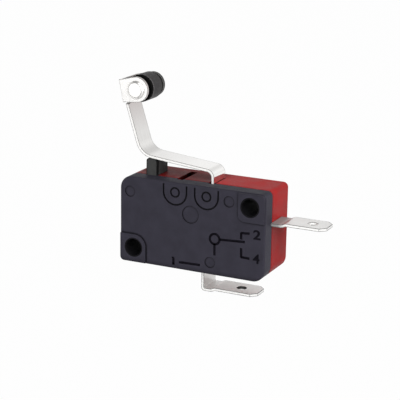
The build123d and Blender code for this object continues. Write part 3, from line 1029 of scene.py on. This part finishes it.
def stroke_tree(material):
    """Geometry nodes that print strokes of one width along curves, with a ring, on the cover."""
    tree = bpy.data.node_groups.new("printed_strokes", "GeometryNodeTree")
    inputs = (
        ("Geometry", "NodeSocketGeometry"),
        ("Stroke Width", "NodeSocketFloat"),
        ("Ink Thickness", "NodeSocketFloat"),
        ("Corner Radius", "NodeSocketFloat"),
        ("Ring Radius", "NodeSocketFloat"),
        ("Ring Centre", "NodeSocketVector"),
        ("Face Place", "NodeSocketVector"),
    )
    for label, kind in inputs:
        tree.interface.new_socket(name=label, in_out="INPUT", socket_type=kind)
    tree.interface.new_socket(name="Geometry", in_out="OUTPUT", socket_type="NodeSocketGeometry")
    make = tree.nodes.new
    link = tree.links.new
    entry = make("NodeGroupInput").outputs
    leave = make("NodeGroupOutput").inputs

    fillet = make("GeometryNodeFilletCurve")
    fillet.mode = "POLY"
    fillet.inputs["Limit Radius"].default_value = True
    fillet.inputs["Count"].default_value = TURN_SIDES
    link(entry["Geometry"], fillet.inputs["Curve"])
    link(entry["Corner Radius"], fillet.inputs["Radius"])

    circle = make("GeometryNodeCurvePrimitiveCircle")
    circle.inputs["Resolution"].default_value = RING_SIDES
    link(entry["Ring Radius"], circle.inputs["Radius"])
    centred = make("GeometryNodeTransform")
    link(circle.outputs["Curve"], centred.inputs["Geometry"])
    link(entry["Ring Centre"], centred.inputs["Translation"])

    curves = make("GeometryNodeJoinGeometry")
    link(fillet.outputs["Curve"], curves.inputs["Geometry"])
    link(centred.outputs["Geometry"], curves.inputs["Geometry"])
    upright = make("GeometryNodeSetCurveNormal")
    upright.mode = "Z_UP"
    link(curves.outputs["Geometry"], upright.inputs["Curve"])

    profile = make("GeometryNodeCurvePrimitiveQuadrilateral")
    link(entry["Stroke Width"], profile.inputs["Width"])
    link(entry["Ink Thickness"], profile.inputs["Height"])
    swept = make("GeometryNodeCurveToMesh")
    swept.inputs["Fill Caps"].default_value = True
    link(upright.outputs["Curve"], swept.inputs["Curve"])
    link(profile.outputs["Curve"], swept.inputs["Profile Curve"])

    placed = make("GeometryNodeTransform")
    placed.inputs["Rotation"].default_value = (pi / 2, 0.0, 0.0)
    link(swept.outputs["Mesh"], placed.inputs["Geometry"])
    link(entry["Face Place"], placed.inputs["Translation"])
    realized = make("GeometryNodeRealizeInstances")
    painted = make("GeometryNodeSetMaterial")
    painted.inputs["Material"].default_value = material
    link(placed.outputs["Geometry"], realized.inputs["Geometry"])
    link(realized.outputs["Geometry"], painted.inputs["Geometry"])
    link(painted.outputs["Geometry"], leave["Geometry"])
    return tree


def set_inputs(modifier, values):
    """Sets a geometry nodes modifier's inputs by their identifiers."""
    for item in modifier.node_group.interface.items_tree:
        if item.in_out == "INPUT" and item.name in values:
            modifier[item.identifier] = values[item.name]


class SWITCH_OT_diagram(bpy.types.Operator):
    """Prints the contact diagram and the number 1, which is drawn with its strokes, on the cover"""

    bl_idname = "micro_switch.diagram"
    bl_label = "Print the diagram"

    def execute(self, context):
        marks = context.scene.micro_switch.marks
        lines = bpy.data.curves.new("diagram_lines", "CURVE")
        lines.dimensions = "3D"
        for stroke in STROKES:
            spline = lines.splines.new("POLY")
            spline.points.add(len(stroke) - 1)
            for point, (x, z) in zip(spline.points, stroke):
                point.co = (x * MM, z * MM, 0.0, 1.0)
        draft = new_object("diagram_draft", lines)
        modifier = draft.modifiers.new("strokes", "NODES")
        modifier.node_group = stroke_tree(printed_ink(marks))
        set_inputs(
            modifier,
            {
                "Stroke Width": marks.stroke_width,
                "Ink Thickness": 2 * marks.ink_thickness,
                "Corner Radius": marks.corner_radius,
                "Ring Radius": marks.ring_radius,
                "Ring Centre": (RING_CENTRE[0] * MM, RING_CENTRE[1] * MM, 0.0),
                "Face Place": (0.0, -marks.face_depth, 0.0),
            },
        )
        mesh = as_mesh(draft)
        mesh.name = "contact_diagram"
        add_print("contact_diagram", mesh)
        return {"FINISHED"}


class SWITCH_OT_numbers(bpy.types.Operator):
    """Prints the terminal numbers on the cover"""

    bl_idname = "micro_switch.numbers"
    bl_label = "Print the numbers"

    def execute(self, context):
        marks = context.scene.micro_switch.marks
        upright = Matrix.Rotation(pi / 2, 4, "X")
        for digit, x, z, breadth in DIGITS:
            text = bpy.data.curves.new(f"digit_{digit}", "FONT")
            text.body = digit
            text.align_x = "CENTER"
            text.align_y = "CENTER"
            text.size = marks.digit_height / FONT_DIGIT_HEIGHT
            text.extrude = marks.ink_thickness
            text.offset = marks.digit_boldness
            mesh = as_mesh(new_object("digit_draft", text))
            place = Matrix.Translation((x * MM, -marks.face_depth, z * MM))
            wide = Matrix.Scale(breadth, 4, RIGHT)
            mesh.transform(place @ wide @ upright)
            mesh.materials.clear()
            mesh.materials.append(printed_ink(marks))
            add_print(f"number_{digit}", mesh)
        return {"FINISHED"}


# Stage


def seen_rays(tree):
    """Mask of the camera's rays and of mirror and glass rays."""
    path = tree.nodes.new("ShaderNodeLightPath")
    mirror = math_node(tree, "MAXIMUM", path.outputs["Is Camera Ray"], path.outputs["Is Glossy Ray"])
    return math_node(tree, "MAXIMUM", mirror, path.outputs["Is Transmission Ray"])


def mixed_shader(tree, share, first, second):
    """Mix of two shaders by a share."""
    mix = tree.nodes.new("ShaderNodeMixShader")
    for socket, source in zip(mix.inputs, (share, first, second)):
        tree.links.new(source, socket)
    return mix.outputs["Shader"]


def room_height(tree):
    """Grey of the room by height: white walls under a dark ceiling, as bright metal mirrors it."""
    place = tree.nodes.new("ShaderNodeTexCoord")
    split = tree.nodes.new("ShaderNodeSeparateXYZ")
    tree.links.new(place.outputs["Generated"], split.inputs["Vector"])
    ramp = tree.nodes.new("ShaderNodeValToRGB")
    tree.links.new(split.outputs["Z"], ramp.inputs["Fac"])
    stops = ramp.color_ramp.elements
    for (height, grey), stop in zip((ROOM_GREYS[0], ROOM_GREYS[-1]), stops):
        stop.position = height
        stop.color = (grey, grey, grey, 1.0)
    for height, grey in ROOM_GREYS[1:-1]:
        stops.new(height).color = (grey, grey, grey, 1.0)
    return ramp.outputs["Color"]


def background(tree, colour, strength=1.0):
    """Background light in a colour or a colour socket."""
    node = tree.nodes.new("ShaderNodeBackground")
    feed(tree, node.inputs["Color"], colour)
    node.inputs["Strength"].default_value = strength
    return node.outputs["Background"]


def studio_world(scene, ambient):
    """Even room light that shows as white, and as white walls under a dark ceiling in metal."""
    world = bpy.data.worlds.new("studio_room")
    scene.world = world
    world.use_nodes = True
    tree = world.node_tree
    tree.nodes.clear()
    light = background(tree, WHITE, ambient)
    white = background(tree, WHITE)
    mirrored = background(tree, room_height(tree))
    path = tree.nodes.new("ShaderNodeLightPath")
    backdrop = mixed_shader(tree, path.outputs["Is Camera Ray"], mirrored, white)
    out = tree.nodes.new("ShaderNodeOutputWorld")
    tree.links.new(mixed_shader(tree, seen_rays(tree), light, backdrop), out.inputs["Surface"])


def floor_material():
    """Pale floor that reads as white and still takes a soft shadow."""
    material = bpy.data.materials.new("studio_floor")
    material.use_nodes = True
    tree = material.node_tree
    tree.nodes.clear()
    paint = tree.nodes.new("ShaderNodeBsdfDiffuse")
    paint.inputs["Color"].default_value = FLOOR_PAINT
    glow = tree.nodes.new("ShaderNodeEmission")
    glow.inputs["Color"].default_value = WHITE
    share = math_node(tree, "MULTIPLY", seen_rays(tree), FLOOR_GLOW)
    look = mixed_shader(tree, share, paint.outputs["BSDF"], glow.outputs["Emission"])
    out = tree.nodes.new("ShaderNodeOutputMaterial")
    tree.links.new(look, out.inputs["Surface"])
    return material


def studio_floor(height):
    """Square floor at a height."""
    corners = ((-1, -1), (1, -1), (1, 1), (-1, 1))
    mesh = bpy.data.meshes.new("studio_floor")
    mesh.from_pydata([(x * FLOOR_REACH, y * FLOOR_REACH, height) for x, y in corners], [], [(0, 1, 2, 3)])
    mesh.materials.append(floor_material())
    new_object("studio_floor", mesh)


def area_lamp(name, power, place, aim):
    """Square soft lamp that looks at the aim point from a place beside it."""
    data = bpy.data.lights.new(name, "AREA")
    data.energy = power
    data.size = LAMP_SIDE
    lamp = new_object(name, data)
    lamp.location = Vector(aim) + Vector(place)
    lamp.rotation_euler = (-Vector(place)).to_track_quat("-Z", "Y").to_euler()


def studio_camera(scene, studio):
    """Camera at the photograph's viewing angle."""
    azimuth = studio.azimuth
    elevation = studio.elevation
    roll = studio.roll
    level = cos(elevation)
    side = Vector((cos(azimuth), sin(azimuth), 0.0))
    forward = Vector((-sin(azimuth) * level, cos(azimuth) * level, -sin(elevation)))
    up = side.cross(forward)
    right = cos(roll) * side + sin(roll) * up
    above = cos(roll) * up - sin(roll) * side
    place = Vector(studio.aim) + right * studio.offset[0] + above * studio.offset[1]
    place -= forward * studio.distance
    data = bpy.data.cameras.new("photo_view")
    data.lens = studio.lens
    data.sensor_width = SENSOR_WIDTH
    data.clip_start = NEAR_LIMIT
    camera = new_object("photo_view", data)
    turn = Matrix((right, above, -forward)).transposed()
    camera.matrix_world = Matrix.Translation(place) @ turn.to_4x4()
    scene.camera = camera


class SWITCH_OT_studio(bpy.types.Operator):
    """Sets up the floor, the lamps, the room and the camera"""

    bl_idname = "micro_switch.studio"
    bl_label = "Set up the studio"

    def execute(self, context):
        scene = context.scene
        studio = scene.micro_switch.studio
        scene.view_settings.view_transform = "Standard"
        studio_floor(cad_box[0].z - studio.floor_gap)
        area_lamp("key_lamp", studio.key_power, KEY_PLACE, studio.aim)
        area_lamp("fill_lamp", studio.fill_power, FILL_PLACE, studio.aim)
        studio_world(scene, studio.ambient)
        studio_camera(scene, studio)
        return {"FINISHED"}


class SWITCH_PT_panel(bpy.types.Panel):
    """Lists the steps that dress the switch"""

    bl_label = "Micro switch"
    bl_idname = "SWITCH_PT_panel"
    bl_space_type = "VIEW_3D"
    bl_region_type = "UI"
    bl_category = "Micro switch"

    def draw(self, context):
        for operator in OPERATORS:
            self.layout.operator(operator.bl_idname)


SETTINGS = (
    HousingSettings,
    ActuatorSettings,
    TerminalSettings,
    MarkSettings,
    StudioSettings,
    SwitchSettings,
)
OPERATORS = (
    SWITCH_OT_housing,
    SWITCH_OT_actuator,
    SWITCH_OT_terminals,
    SWITCH_OT_works,
    SWITCH_OT_diagram,
    SWITCH_OT_numbers,
    SWITCH_OT_studio,
)


def register():
    """Makes the settings, the steps and the panel known to Blender."""
    for item in (*SETTINGS, *OPERATORS, SWITCH_PT_panel):
        bpy.utils.register_class(item)
    bpy.types.Scene.micro_switch = bpy.props.PointerProperty(type=SwitchSettings)


def unregister():
    """Takes them out again."""
    del bpy.types.Scene.micro_switch
    for item in reversed((*SETTINGS, *OPERATORS, SWITCH_PT_panel)):
        bpy.utils.unregister_class(item)


def main():
    """Dresses the switch and sets the stage."""
    register()
    moulded_skin()
    rolled_sheet()
    cut_edges()
    edge_line()
    recesses()
    far_side()
    hole_wall()
    bpy.ops.micro_switch.housing()
    bpy.ops.micro_switch.actuator()
    bpy.ops.micro_switch.terminals()
    bpy.ops.micro_switch.works()
    bpy.ops.micro_switch.diagram()
    bpy.ops.micro_switch.numbers()
    bpy.ops.micro_switch.studio()


if __name__ == "__main__":
    main()
